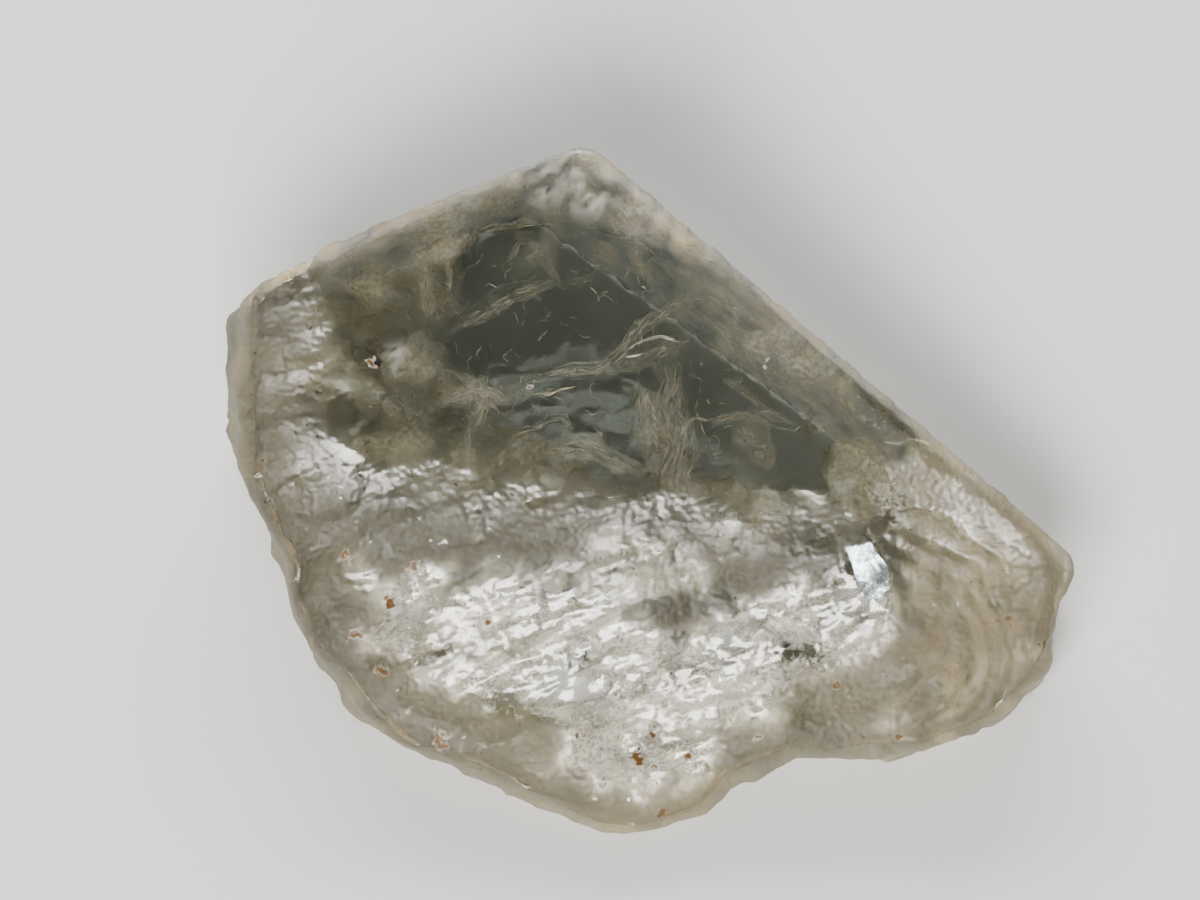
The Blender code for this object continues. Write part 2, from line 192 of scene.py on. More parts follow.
# Veils and strands of inclusions: points (u, v), width, depth as a share of the thickness, and how
# dense they are, mm
VEILS = [([(-11.0, 8.3), (-9.4, 8.9), (-7.9, 9.8), (-6.1, 10.5), (-4.6, 10.9)], 1.1, 0.45, 0.9),
         ([(-4.6, 10.9), (-3.4, 11.2), (-2.6, 11.7)], 0.35, 0.4, 0.7),
         ([(-8.0, 11.4), (-7.4, 12.3), (-6.7, 13.2)], 0.35, 0.4, 0.8),
         ([(-6.5, 13.2), (-5.6, 11.8), (-4.9, 10.7)], 0.6, 0.5, 0.75),
         ([(-12.0, 12.4), (-11.7, 11.0), (-11.9, 9.6), (-11.4, 8.4)], 0.9, 0.35, 0.8),
         ([(-11.0, 12.3), (-10.6, 11.2), (-10.8, 10.0)], 0.4, 0.3, 0.7),
         ([(-8.6, 4.6), (-7.0, 5.5), (-5.4, 6.1), (-3.9, 6.3), (-2.8, 6.4), (-1.6, 7.3), (-0.8, 8.4),
           (0.4, 9.2), (1.9, 9.9), (3.0, 10.1)], 1.0, 0.35, 0.95),
         ([(-2.4, 6.6), (-1.2, 6.6), (0.2, 7.4), (1.2, 8.0)], 1.3, 0.4, 0.6),
         ([(-11.4, 4.2), (-10.0, 4.9), (-8.8, 5.2), (-7.6, 4.6)], 1.3, 0.3, 0.9),
         ([(-9.4, 3.2), (-8.8, 4.6), (-8.9, 6.0)], 1.0, 0.3, 0.8),
         ([(-10.4, 6.2), (-9.2, 5.4), (-8.4, 4.4)], 0.8, 0.35, 0.8),
         ([(-9.6, 3.4), (-9.55, 1.4), (-9.6, -1.4)], 0.35, 0.25, 0.8),
         ([(-7.2, 2.9), (-5.9, 3.4), (-4.9, 3.8), (-4.1, 3.1)], 0.3, 0.25, 0.9),
         ([(1.9, 9.9), (3.4, 8.6), (4.6, 7.4), (5.0, 6.0)], 1.6, 0.4, 0.6),
         ([(0.2, 7.6), (0.9, 5.9), (0.6, 4.2), (1.2, 2.4), (0.6, 0.6), (0.8, -1.2)], 2.4, 0.4, 0.9),
         ([(-0.6, 6.0), (-0.5, 4.2), (0.2, 2.6)], 0.9, 0.3, 0.8),
         ([(2.3, 3.1), (4.2, 3.9), (6.6, 3.3)], 0.6, 0.4, 0.7),
         ([(3.2, 6.0), (4.8, 5.0), (6.0, 4.0), (7.6, 3.4)], 0.5, 0.45, 0.7),
         ([(-5.6, 1.7), (-3.8, 2.4), (-2.0, 1.4), (-0.6, 0.9)], 1.6, 0.3, 0.8)]
BRIGHT_STRANDS = [([(-12.8, 11.8), (-11.5, 12.7), (-9.5, 13.5), (-6.9, 13.9), (-4.8, 13.9)], 0.4, 0.75, 1.0),
                  ([(-4.8, 13.9), (-2.8, 13.5), (-0.8, 12.8), (0.4, 11.9)], 0.25, 0.75, 0.7),
                  ([(-6.9, 4.9), (-5.4, 5.1), (-3.9, 5.5)], 0.35, 0.3, 1.0),
                  ([(-1.8, 6.9), (-1.2, 7.4), (-0.5, 7.8), (0.3, 8.0), (1.0, 7.8), (1.8, 7.7)],
                   0.16, 0.2, 1.0),
                  ([(-1.7, 6.9), (-0.8, 7.0), (-0.2, 7.2)], 0.12, 0.2, 1.0),
                  ([(1.2, 2.6), (1.7, 3.5), (2.1, 3.8), (2.7, 3.7), (3.4, 3.7)], 0.28, 0.2, 1.0),
                  ([(-0.4, 5.4), (-0.2, 4.2), (0.4, 3.2)], 0.3, 0.3, 0.9)]
STRAND_ACROSS = 7
THIN_STRAND = 0.2  # a strand up to this width has three points across, mm
THIN_ACROSS = 3
STRAND_STEPS = 4
STRAND_GRAIN = (1.1, 7.0, 5.0)  # cycles per mm along, across and from strand to strand
FIBRES_PER_MM = 3.0
FIBRE_SEED = 5
# Soft milky clouds in and round the window: as the windows are
CLOUDS = [(0.4, 1.8, 1.3, 3.2, 8, 0.8), (2.6, 8.4, 1.6, 2.8, -35, 0.5), (-11.6, 10.6, 1.2, 2.0, 5, 0.6),
          (-8.8, 4.2, 1.8, 1.6, 0, 0.7), (-4.4, 1.6, 2.6, 1.0, -10, 0.7), (5.6, 2.4, 2.4, 0.9, -30, 0.5),
          (-6.2, 12.6, 1.0, 1.4, -30, 0.45)]
# Fields of hair-thin curls: u, v, half width, half height and how many
THREAD_FIELDS = [(-3.2, 9.6, 3.6, 3.0, 42), (4.6, 4.6, 3.2, 2.6, 26), (-8.6, 10.4, 2.6, 2.4, 16),
                 (-4.2, 5.0, 3.4, 1.6, 18), (-8.8, 5.2, 2.4, 2.0, 18)]
THREAD_SEED = 11
# Painted shade along fractures seen edge on and along the mirror facet's upper edge: points (u, v), width and
# depth as a share of the thickness
CRACKS = [([(9.6, -2.5), (10.4, -2.2), (11.1, -2.6), (11.7, -3.5)], 0.2, 0.12),
          ([(-4.7, -5.5), (-3.4, -5.1), (-1.8, -4.6)], 0.14, 0.15),
          ([(-2.8, -5.9), (-2.2, -5.3), (-1.4, -5.2)], 0.1, 0.15),
          ([(-0.4, 1.2), (-0.1, 0.4), (0.1, -0.6)], 0.1, 0.2),
          ([(-9.6, -6.0), (-9.3, -6.9), (-9.5, -7.6)], 0.1, 0.12),
          ([(8.8, -2.2), (9.2, -2.7), (9.6, -2.6)], 0.1, 0.12),
          ([(0.2, -9.6), (1.2, -9.2), (2.2, -9.3)], 0.08, 0.12)]
CRACK_DENSITY = 1.5
FLANK_STREAKS = 46
FLANK_SEED = 3
GLINTS = 120
GLINT_SEED = 8
GLINT_BOX = (-18.0, -16.0, 18.0, 0.5)
# The flat break that mirrors the light: its corners (u, v), depth and slope
FACET_OUTLINE = [(9.8, -2.9), (10.9, -2.65), (11.75, -3.6), (12.05, -5.0), (11.35, -5.7),
                 (10.6, -5.1), (10.1, -4.0)]
FACET_DEPTH = 1.0
FACET_SLOPE = (0.05, 0.10)
CLEAR_OVER_FACET = (10.9, -4.1, 1.7)  # u, v and radius, mm
FAN_BOX = (8.0, -15.0, 21.0, 2.0)
FAN_DEPTH = 1.1
FAN_WAVE = 0.11
# White etched patches and broad warm stains on the prism faces: u, v and radius, mm
WHITE_SPOTS = [(-9.7, 15.7, 1.0), (-5.4, 15.9, 1.2), (-3.2, 15.4, 1.4), (-0.2, 14.2, 1.3), (2.5, 12.5, 0.8),
               (-13.3, 6.8, 0.8), (1.4, 13.2, 0.9), (-7.4, 16.3, 0.7), (-4.2, 16.6, 1.0)]
WHITE_GRAIN = 0.9  # size of the ragged gaps in the white patches
WARM_SPOTS = [(-14.4, 13.4, 1.6), (-11.3, 14.7, 1.8), (0.8, 12.4, 1.7), (-14.6, 6.6, 0.9),
              (-7.0, 15.2, 1.2), (-19.6, 2.0, 1.6), (8.2, 4.6, 1.4), (13.4, 0.6, 1.6),
              (19.0, -6.4, 1.4), (16.8, -4.5, 3.4), (13.6, -9.4, 3.0), (18.4, -1.6, 2.0)]
# Rust specks: u, v and radius, mm
RUST_SPECKS = [(-6.4, 5.4, 0.25), (8.3, -8.6, 0.3), (9.4, -9.9, 0.35), (-14.0, -9.2, 0.4),
               (-8.6, -6.6, 0.25), (-12.0, -5.2, 0.3), (14.6, -11.0, 0.35), (5.4, -12.6, 0.3),
               (-11.0, -12.6, 0.55), (-10.9, -13.1, 0.4), (-0.9, -13.8, 0.6), (0.1, -14.3, 0.45),
               (-2.8, -15.0, 0.4), (1.3, -9.9, 0.75), (-13.6, -5.6, 0.5), (-15.4, -7.3, 0.45),
               (-15.9, -3.3, 0.45), (-12.3, -3.8, 0.4), (0.0, -12.5, 0.3), (1.8, -13.6, 0.3),
               (0.4, -16.7, 0.4), (18.2, -6.6, 0.5), (12.6, -12.7, 0.4), (20.0, -7.9, 0.45),
               (-4.1, -12.5, 0.3), (5.9, 6.6, 0.35), (-14.5, 6.7, 0.5)]

# The photo's frame: its size and the scale at the front face
FRAME_PX = (1200, 900)
PX_PER_MM = 19.5
SLAB_ORIGIN_PX = (655.0, 491.5)
CAMERA_MM = 320.0  # how far the camera stands off the front face
SENSOR_MM = 36.0

# The studio: place and size in metres, power in watts and colour of each softbox
KEY_LIGHT = ((-0.10, -0.37, 0.41), (0.34, 0.24), 6.5, (1.0, 0.98, 0.95))
BACK_LIGHT = ((-0.05, 0.50, 0.28), (0.60, 0.22), 5.5, (1.0, 1.0, 1.0))
LIGHT_TARGET = (0, 0, 0.008)
SKY_COLOUR = (0.95, 0.97, 1.0, 1)
SKY_STRENGTH = 0.15
FLOOR_REACH = 2.0
FLOOR_GAP = 0.00004  # how far the floor lies under the base, so that the two don't flicker


def slab_matrix():
    return Matrix.Translation(Vector(SLAB_ORIGIN) * MM) @ Matrix.Rotation(TILT, 4, "X")


def to_world(place):
    return slab_matrix() @ (Vector(place) * MM)


def to_slab(place):
    return (slab_matrix().inverted() @ place) / MM


def evaluated_mesh(ob):
    bpy.context.view_layer.update()
    return bpy.data.meshes.new_from_object(ob.evaluated_get(bpy.context.evaluated_depsgraph_get()))


def link(ob):
    bpy.context.scene.collection.objects.link(ob)
    return ob


def extruded(name, points, depth, matrix):
    curve = bpy.data.curves.new(name, "CURVE")
    curve.dimensions = "2D"
    curve.fill_mode = "BOTH"
    curve.extrude = depth / 2 * MM
    spline = curve.splines.new("POLY")
    spline.points.add(len(points) - 1)
    for point, (x, y) in zip(spline.points, points):
        point.co = (x * MM, y * MM, 0, 1)
    spline.use_cyclic_u = True
    drawn = link(bpy.data.objects.new(name + "_outline", curve))
    drawn.matrix_world = matrix
    mesh = evaluated_mesh(drawn)
    bm = bmesh.new()
    bm.from_mesh(mesh)
    bmesh.ops.remove_doubles(bm, verts=bm.verts, dist=1e-6)
    bmesh.ops.recalc_face_normals(bm, faces=bm.faces)
    bm.to_mesh(mesh)
    bm.free()
    plate = link(bpy.data.objects.new(name, mesh))
    plate.matrix_world = drawn.matrix_world.copy()
    bpy.data.objects.remove(drawn, do_unlink=True)
    return plate


def block_cutter(name, point, outward, width=0.12):
    mesh = bpy.data.meshes.new(name)
    bm = bmesh.new()
    bmesh.ops.create_cube(bm, size=width)
    bmesh.ops.translate(bm, verts=bm.verts, vec=(0, 0, width / 2))
    bm.to_mesh(mesh)
    bm.free()
    block = link(bpy.data.objects.new(name, mesh))
    block.matrix_world = Matrix.Translation(point) @ outward.to_track_quat("Z", "Y").to_matrix().to_4x4()
    return block


def ball_cutter(name, centre, radius):
    mesh = bpy.data.meshes.new(name)
    bm = bmesh.new()
    bmesh.ops.create_uvsphere(bm, u_segments=64, v_segments=32, radius=radius * MM)
    bm.to_mesh(mesh)
    bm.free()
    ball = link(bpy.data.objects.new(name, mesh))
    ball.matrix_world = Matrix.Translation(centre)
    return ball


def face_plane(face):
    point, turn, lean = face
    turn, lean = math.radians(turn), math.radians(lean)
    side = Vector((-math.sin(turn), math.cos(turn), 0)) * math.cos(lean)
    return Vector(point), (side - Vector((0, 0, math.sin(lean)))).normalized()


def dome_drop(v):
    below = max(0.0, DOME_TOP - v)
    return DOME_RADIUS - math.sqrt(DOME_RADIUS**2 - below**2)


def dome_cutter():
    reach, lowest = 30.0, -25.0
    arc = [DOME_TOP + (lowest - DOME_TOP) * i / DOME_STEPS for i in range(DOME_STEPS + 1)]
    profile = [(v, -dome_drop(v)) for v in arc] + [(lowest, reach), (reach, reach), (reach, 0.0)]
    across = slab_matrix() @ Matrix.Rotation(math.radians(90), 4, "Z") @ Matrix.Rotation(
        math.radians(90), 4, "X")
    return extruded("front_swell", profile, 80.0, across)


def scoop_cutter(name, scoop):
    u, v, rim, depth = scoop
    radius = (rim**2 + depth**2) / (2 * depth)
    return ball_cutter(name, to_world((u, v, radius - depth - dome_drop(v))), radius)


def rim_cutter(name, scoop):
    u, v, height, radius, bite = scoop
    edge = to_world((u, v, 0))
    outward = Vector((edge.x, edge.y, 0)).normalized()
    centre = Vector((edge.x, edge.y, height * MM)) + outward * (radius - bite) * MM
    return ball_cutter(name, centre, radius)


def nick_cutter(name, nick):
    u, v, radius, bite = nick
    outward = (Vector((u, v, 0)).normalized() + Vector((0, 0, 1))).normalized()
    return ball_cutter(name, to_world(Vector((u, v, 0)) + outward * (radius - bite)), radius)


def smooth_step(low, high, value):
    t = min(1.0, max(0.0, (value - low) / (high - low)))
    return t * t * (3 - 2 * t)


def chips(place, sizes):
    mean = 0.3
    total = 0.0
    for spacing, height in sizes:
        nearest = noise.voronoi(place / spacing + SEED)[0][0]
        total += height * (min(1.0, 1.6 * nearest**2) - mean)
    return total


def near_face(place, face):
    point, outward = face_plane(face)
    return 1 - smooth_step(0.25, 1.0, abs((place - point).dot(outward)))


def along_ledges(place):
    turned = Matrix.Rotation(-LEDGE_TURN, 3, "Z") @ place
    return Vector((turned.x / LEDGE_STRETCH, turned.y, turned.z))


RIM_STARTS = np.array(BROKEN_RIM[:-1])
RIM_SIDES = np.array(BROKEN_RIM[1:]) - RIM_STARTS


def rim_distance(place):
    spot = np.array(place.xy)
    t = np.clip(((spot - RIM_STARTS) * RIM_SIDES).sum(1) / (RIM_SIDES**2).sum(1), 0, 1)
    return min(LIP_WIDTH, float(np.linalg.norm(spot - RIM_STARTS - RIM_SIDES * t[:, None], axis=1).min()))


def pits(place):
    deepest = 0.0
    for name, along, below, half_length, half_width, depth in PITS:
        point, turn, _ = FLAT_FACES[name]
        edge = Vector((math.cos(math.radians(turn)), math.sin(math.radians(turn)), 0))
        s = ((place - Vector(point)).dot(edge) - along) / half_length
        t = (-place.z - below) / half_width
        deepest = max(deepest, depth * smooth_step(0.0, 0.6, 1 - math.hypot(s, t)))
    return deepest


def clear_part(place):
    return smooth_step(-4.0, 2.0, place.y + 0.12 * place.x) * smooth_step(-20.0, -15.0, place.x)


def zones(place):
    """How far a place belongs to the front, to a long prism face and to the broken walls, 0 to 1."""
    under = -place.z - dome_drop(place.y)
    front = 1 - smooth_step(0.5, 1.8, abs(under))
    prism = max(near_face(place, UPPER_LEFT_PRISM), near_face(place, UPPER_RIGHT_PRISM))
    return under, front, prism, (1 - prism) * (1 - front)


def relief(place, height):
    """The part's own relief at a point of the slab frame, in mm."""
    ground = smooth_step(0.15, 1.3, height)
    if ground == 0:
        return 0.0
    under, front, prism, wall = zones(place)
    clear = clear_part(place)
    wall_relief = chips(place, WALL_CHIPS) * (0.45 + 0.55 * smooth_step(1.0, 3.5, under))
    lip = LIP_DROP * (1 - smooth_step(0.0, LIP_WIDTH, rim_distance(place))) ** 2
    front_relief = (1 - clear) * chips(along_ledges(place), FRONT_LEDGES) - lip
    grain = noise.fractal(place / GRAIN[0], 0.9, 2.1, 3)
    grain_height = GRAIN[1] * (wall + front * (1 - clear)) + CLEAR_GRAIN * front * clear
    down_face = Vector((place.x, place.y, place.z / 8)) / GROOVES[0] + SEED
    prism_relief = GROOVES[1] * noise.fractal(down_face, 0.8, 2.2, 3) - pits(place)
    shaped = wall * wall_relief + front * front_relief + prism * prism_relief
    return ground * (shaped + grain_height * grain)


def blob(u, v, shapes, warp):
    """How far inside a union of turned ellipses a place is, 0 to 1, with edges moved by the warp."""
    inside = 0.0
    for u0, v0, half_u, half_v, turn, share in shapes:
        c, w = math.cos(math.radians(turn)), math.sin(math.radians(turn))
        du, dv = u - u0, v - v0
        away = math.hypot((c * du + w * dv) / half_u, (c * dv - w * du) / half_v)
        inside = max(inside, share * (1 - smooth_step(-0.9, 0.9, (away - 1) * min(half_u, half_v) + warp)))
    return inside


def silver(u, v):
    """1 over the silvery fractures, where the front is glossy and hackly, 0 where it is matte."""
    warp = 1.3 * noise.noise(Vector((u, v, 3)) / 2.2) + 0.6 * noise.noise(Vector((u, v, 9)) / 0.9)
    return blob(u, v, FOIL_PATCHES, warp)


def facets(spot, size, slope):
    """Height of flat facets, each tilted its own way and blended at their borders."""
    distances, centres = noise.voronoi(spot / size)
    total = weight = 0.0
    for distance, centre in zip(distances, centres):
        share = math.exp(-FACET_EDGE * (distance**2 - distances[0] ** 2))
        tilt = noise.cell_vector(centre * 31.7) - Vector((0.5, 0.5, 0.5))
        total += share * (spot / size - centre).dot(tilt)
        weight += share
    return size * slope * 2 * total / weight


def rings(place):
    """Shell-like rings round the point where the right flank was struck, -1 to 1."""
    u, v, inner, outer, spacing, _ = RIPPLES
    away = math.hypot(place.x - u, place.y - v)
    bearing = math.degrees(math.atan2(place.y - v, place.x - u))
    facing = smooth_step(-70, -35, bearing) * (1 - smooth_step(75, 105, bearing))
    band = smooth_step(inner, inner + 1.5, away) * (1 - smooth_step(outer - 1.5, outer, away))
    wander = 0.8 * noise.noise(place / 2.5)
    return band * facing * math.sin(2 * math.pi * (away + wander) / spacing)


def fine_relief(place, height):
    """Relief finer than the part's own, in mm."""
    ground = smooth_step(0.1, 0.6, height)
    if ground == 0:
        return 0.0
    under, front, prism, wall = zones(place)
    broken = front * (1 - glassy(place)) * (1 - 0.8 * spotted(place, [CLEAR_OVER_FACET]))
    down_face = Vector((place.x, place.y, place.z / 14)) / FINE_GROOVES[0]
    lines = FINE_GROOVES[1] * noise.fractal(down_face, 0.9, 2.3, 3)
    nearest = noise.voronoi(place / MICRO_PITS[0] + SEED)[0][0]
    dots = MICRO_PITS[1] * (1 - smooth_step(0.12, 0.34, nearest))
    hackle = sum(facets(along_ledges(place) + SEED, size, slope) for size, slope in HACKLE)
    silvery = silver(place.x, place.y)
    hackle *= 0.25 + 0.75 * silvery
    matte = MATTE_GRAIN[1] * noise.fractal(place / MATTE_GRAIN[0], 0.8, 2.2, 3)
    broken_front = broken * (hackle + (1 - silvery) * matte) + front * RIPPLES[5] * rings(place)
    return ground * (prism * (lines - dots) + wall * chips(place, FINE_CHIPS) + broken_front)


def base_hollow(place):
    spot = Vector((place.x, place.y, 0.0)) / BASE_REACH + SEED
    return BASE_HOLLOW * smooth_step(0.04, 0.6, noise.fractal(spot, 0.8, 2.1, 3))


def fine_crystal():
    body = extruded(NODE + "_fine", OUTLINE, SLAB_DEPTH,
                    slab_matrix() @ Matrix.Translation((0, 0, -SLAB_DEPTH / 2 * MM)))
    lean = Matrix.Rotation(TILT, 3, "X")
    tools = [block_cutter("base", Vector((0, 0, 0)), Vector((0, 0, -1))), dome_cutter()]
    for name, face in FLAT_FACES.items():
        point, outward = face_plane(face)
        tools.append(block_cutter(name, to_world(point), lean @ outward))
    for name, make, rows in (("front_scoop", scoop_cutter, FRONT_SCOOPS),
                             ("rim_scoop", rim_cutter, RIM_SCOOPS),
                             ("edge_nick", nick_cutter, EDGE_NICKS)):
        tools += [make(f"{name}_{i}", row) for i, row in enumerate(rows)]
    for cutter in tools:
        step = body.modifiers.new(cutter.name, "BOOLEAN")
        step.operation = "DIFFERENCE"
        step.object = cutter
        step.solver = "EXACT"
    step = body.modifiers.new("even_mesh", "REMESH")
    step.mode = "VOXEL"
    step.voxel_size = FINE_VOXEL * MM
    worn = body.modifiers.new("worn_edges", "SMOOTH")
    worn.factor = 0.5
    worn.iterations = 4
    mesh = evaluated_mesh(body)
    mesh.transform(body.matrix_world)
    body.modifiers.clear()
    body.data = mesh
    body.matrix_world = Matrix.Identity(4)
    for cutter in tools:
        bpy.data.objects.remove(cutter, do_unlink=True)
    refine_broken_front(body)
    return body


def refine_broken_front(body):
    """Halves the faces of the broken part of the front, where the relief is finest."""
    bm = bmesh.new()
    bm.from_mesh(body.data)
    edges = set()
    for face in bm.faces:
        place = to_slab(face.calc_center_median())
        if abs(place.z + dome_drop(place.y)) < REFINED_DEPTH and clear_part(place) < 0.6:
            edges.update(face.edges)
    bmesh.ops.subdivide_edges(bm, edges=list(edges), cuts=1, use_grid_fill=True)
    bmesh.ops.triangulate(bm, faces=[f for f in bm.faces if len(f.verts) > 4])
    bm.to_mesh(body.data)
    bm.free()


def window(u, v):
    """1 where the back is clear enough to see through from the front, 0 where it is etched."""
    warp = 1.1 * noise.noise(Vector((u, v, 0)) / 1.9) + 0.7 * noise.noise(Vector((u, v, 7)) / 0.8)
    return blob(u, v, WINDOWS, warp)


def glassy(place):
    """1 where the front is polished: the clear part, and on to the left end."""
    return smooth_step(-4.0, 2.0, place.y + 0.12 * place.x) * smooth_step(-22.5, -19.0, place.x)


def matte_ends(place):
    """1 on the left and right ends, which are matte up to the prism faces."""
    ragged = place.x + 2.6 * noise.fractal(place / 2.4, 0.8, 2.1, 3)
    left = 1 - smooth_step(*MATTE_LEFT, ragged)
    right = smooth_step(*MATTE_RIGHT, ragged) * (0.6 + 0.4 * rings(place))
    patchy = noise.fractal(place / 1.9 + SEED, 0.8, 2.1, 3)
    return max(left * smooth_step(-0.35, 0.25, patchy), right)


def spotted(place, rows):
    """1 at the middle of a row's spot (u, v, radius), falling to 0 round it."""
    amount = 0.0
    for u, v, size in rows:
        away = math.hypot(place.x - u, place.y - v) / size
        amount = max(amount, 1 - smooth_step(0.1, 1.5, away))
    return amount


def tan(place):
    """How tan the skin's glass is: the two ends, and less so the broken rim."""
    left = 1 - smooth_step(*TAN_LEFT, place.x)
    right = smooth_step(*MATTE_RIGHT, place.x)
    rim = RIM_TAN * (1 - smooth_step(0.3, LIP_WIDTH, rim_distance(place)))
    return max(left, right, rim)


def skin(place, base, seen_through):
    """How frosted, milky, warm, dull and rusty the surface is at a place of the slab frame."""
    under, front, prism, wall = zones(place)
    matte = 1 - silver(place.x, place.y)
    over_facet = spotted(place, [CLEAR_OVER_FACET])
    white = spotted(place, WHITE_SPOTS) * (1 - 0.5 * front)
    white *= smooth_step(-0.3, 0.3, noise.fractal(place / WHITE_GRAIN, 0.6, 2.1, 3))
    unpolished = max(1 - glassy(place), HALF_POLISHED * (1 - clear_part(place)))
    dull = max(max(unpolished * matte, matte_ends(place)) * (1 - over_facet), 0.8 * white)
    sheen = PEARLY * (1 - matte) * (1 - over_facet)
    stained = spotted(place, WARM_SPOTS) * (1 - smooth_step(*WARM_DEPTHS, under))
    looks = {"warm": max(0.0, BASE_WARMTH + stained - white),
             "stain": spotted(place, RUST_SPECKS) * (front + wall)}
    if base:
        return looks | {"frost": 1 - seen_through, "milk": 1 - seen_through, "dull": 0.0}
    right = smooth_step(*MATTE_RIGHT, place.x)
    front_milk = (FRONT_MILK + RIGHT_MILK * right) * front * dull
    looks["frost"] = prism + WALL_FROST * wall + front * max(dull, sheen)
    looks["milk"] = max(white, PRISM_MILK * prism + WALL_MILK * wall + front_milk)
    looks["dull"] = (1 + tan(place)) * (front * dull + WALL_DULL * wall)
    return looks


def shape_surface(body):
    """Moves the points by all the relief and notes what the surface is like at each of them."""
    mesh = body.data
    normals = [v.normal.copy() for v in mesh.vertices]
    looks = []
    for vertex, normal in zip(mesh.vertices, normals):
        height = vertex.co.z / MM
        place = to_slab(vertex.co)
        vertex.co += normal * (relief(place, height) + fine_relief(place, height)) * MM
        base = height < PRESS
        seen_through = window(place.x, place.y) if base else 0.0
        if base:
            vertex.co.z = base_hollow(vertex.co / MM) * (1 - seen_through) * MM
        vertex.co.z = max(vertex.co.z, 0.0)
        looks.append(skin(place, base, seen_through))
    for name in ("frost", "milk", "warm", "dull", "stain"):
        values = [look[name] for look in looks]
        mesh.attributes.new(name, "FLOAT", "POINT").data.foreach_set("value", values)
    mesh.shade_smooth()


def crumple(u, v, layer, sizes):
    spot = along_ledges(Vector((u, v, 0))) + Vector((0, 0, layer))
    return sum(facets(spot + SEED, size, slope) for size, slope in sizes)


class Inside:
    """Where the crystal's front and back lie along a line of sight."""

    def __init__(self, body):
        mesh = body.data
        self.tree = BVHTree.FromPolygons([v.co for v in mesh.vertices], [p.vertices for p in mesh.polygons])
        self.sight = slab_matrix().to_3x3() @ Vector((0, 0, -1))

    def __call__(self, u, v):
        front = self.tree.ray_cast(to_world((u, v, 20.0)), self.sight)[0]
        back = self.tree.ray_cast(to_world((u, v, -30.0)), -self.sight)[0]
        if front is None or back is None:
            return None
        return to_slab(front).z, to_slab(back).z


def sheet(name, inside, box, step, level, weight, material, lift=0.0):
    """A fracture or veil inside the crystal: level gives its n and weight how much of it there is.

    The lift keeps sheets apart where a thin edge squeezes them against the back.
    """
    u0, v0, u1, v1 = box
    across, up = int((u1 - u0) / step) + 1, int((v1 - v0) / step) + 1
    bm = bmesh.new()
    shown = bm.verts.layers.float.new("shown")
    grid = {}
    for j in range(up):
        for i in range(across):
            u, v = u0 + i * step, v0 + j * step
            amount = weight(u, v)
            span = inside(u, v) if amount > 0.02 else None
            if span is None or span[0] - span[1] < 3 * CLEARANCE + lift:
                continue
            front, back = span
            n = min(front - CLEARANCE, max(back + CLEARANCE + lift, level(u, v, front, back)))
            grid[i, j] = bm.verts.new(to_world((u, v, n)))
            grid[i, j][shown] = amount
    for i, j in list(grid):
        corners = [grid.get(key) for key in ((i, j), (i + 1, j), (i + 1, j + 1), (i, j + 1))]
        if all(corners):
            bm.faces.new(corners)
    return inner_piece(name, bm, material)


def smooth_path(points, per_span):
    """Points along a smooth curve through the given ones."""
    ends = [points[0]] + list(points) + [points[-1]]
    path = []
    for a, b, c, d in zip(ends, ends[1:], ends[2:], ends[3:]):
        for k in range(per_span):
            t = k / per_span
            path.append(0.5 * (2 * b + (c - a) * t + (2 * a - 5 * b + 4 * c - d) * t**2
                               + (3 * b - a - 3 * c + d) * t**3))
    return path + [points[-1]]


def strands(name, inside, rows, material):
    """Ribbons of fine inclusions, thin at their edges and ends: points (u, v), width, depth and amount."""
    bm = bmesh.new()
    shown = bm.verts.layers.float.new("shown")
    along = bm.verts.layers.float_vector.new("along")
    for row, (points, width, share, amount) in enumerate(rows):
        path = smooth_path([Vector(point) for point in points], STRAND_STEPS)
        across = STRAND_ACROSS if width > THIN_STRAND else THIN_ACROSS
        length = 0.0
        before = None
        for k, spot in enumerate(path):
            t = k / (len(path) - 1)
            ahead = (path[min(k + 1, len(path) - 1)] - path[max(k - 1, 0)]).normalized()
            side = Vector((-ahead.y, ahead.x))
            length += (spot - path[max(k - 1, 0)]).length
            half = width / 2 * (0.25 + 0.75 * math.sin(math.pi * t) ** 0.6)
            half *= 1 + 0.5 * noise.noise(Vector((length / 0.9, row, 0)))
            ring = []
            for m in range(across):
                x = 2 * m / (across - 1) - 1
                u, v = spot + side * x * half
                span = inside(u, v)
                if span is None:
                    ring = None
                    break
                wave = 0.25 * noise.noise(Vector((length / 0.8, 2 * x, row)))
                n = span[0] - share * (span[0] - span[1]) + wave
                vert = bm.verts.new(to_world((u, v, min(n, span[0] - CLEARANCE))))
                edge = 1 - x * x if across > THIN_ACROSS else 1.0
                vert[shown] = amount * edge * min(1.0, 4 * t, 4 * (1 - t))
                vert[along] = Vector((length, x * half, row))
                ring.append(vert)
            if before and ring:
                for a, b, c, d in zip(before, ring, ring[1:], before[1:]):
                    bm.faces.new((a, b, c, d))
            before = ring
    return inner_piece(name, bm, material)


def fibres(rows):
    """Each strand as a loose bundle of fibres that start, end and stray as they like."""
    rng = np.random.default_rng(FIBRE_SEED)
    bundle = []
    for points, width, share, amount in rows:
        path = smooth_path([Vector(point) for point in points], STRAND_STEPS)
        for _ in range(int(FIBRES_PER_MM * width * (len(points) ** 0.5)) + 3):
            start = rng.uniform(0, 0.55)
            end = start + rng.uniform(0.25, 0.9)
            kept = path[int(start * len(path)):int(end * len(path)) + 2]
            if len(kept) < 3:
                continue
            shift = Vector(rng.normal(0, width / 3, 2))
            stray = Vector(rng.normal(0, width / 5, 2))
            line = [spot + shift + stray * (k / len(kept)) ** 2 + Vector(rng.normal(0, 0.06, 2))
                    for k, spot in enumerate(kept)]
            bundle.append((line, rng.uniform(0.02, 0.07), share + rng.normal(0, 0.04),
                           amount * rng.uniform(0.4, 1.0)))
    return bundle


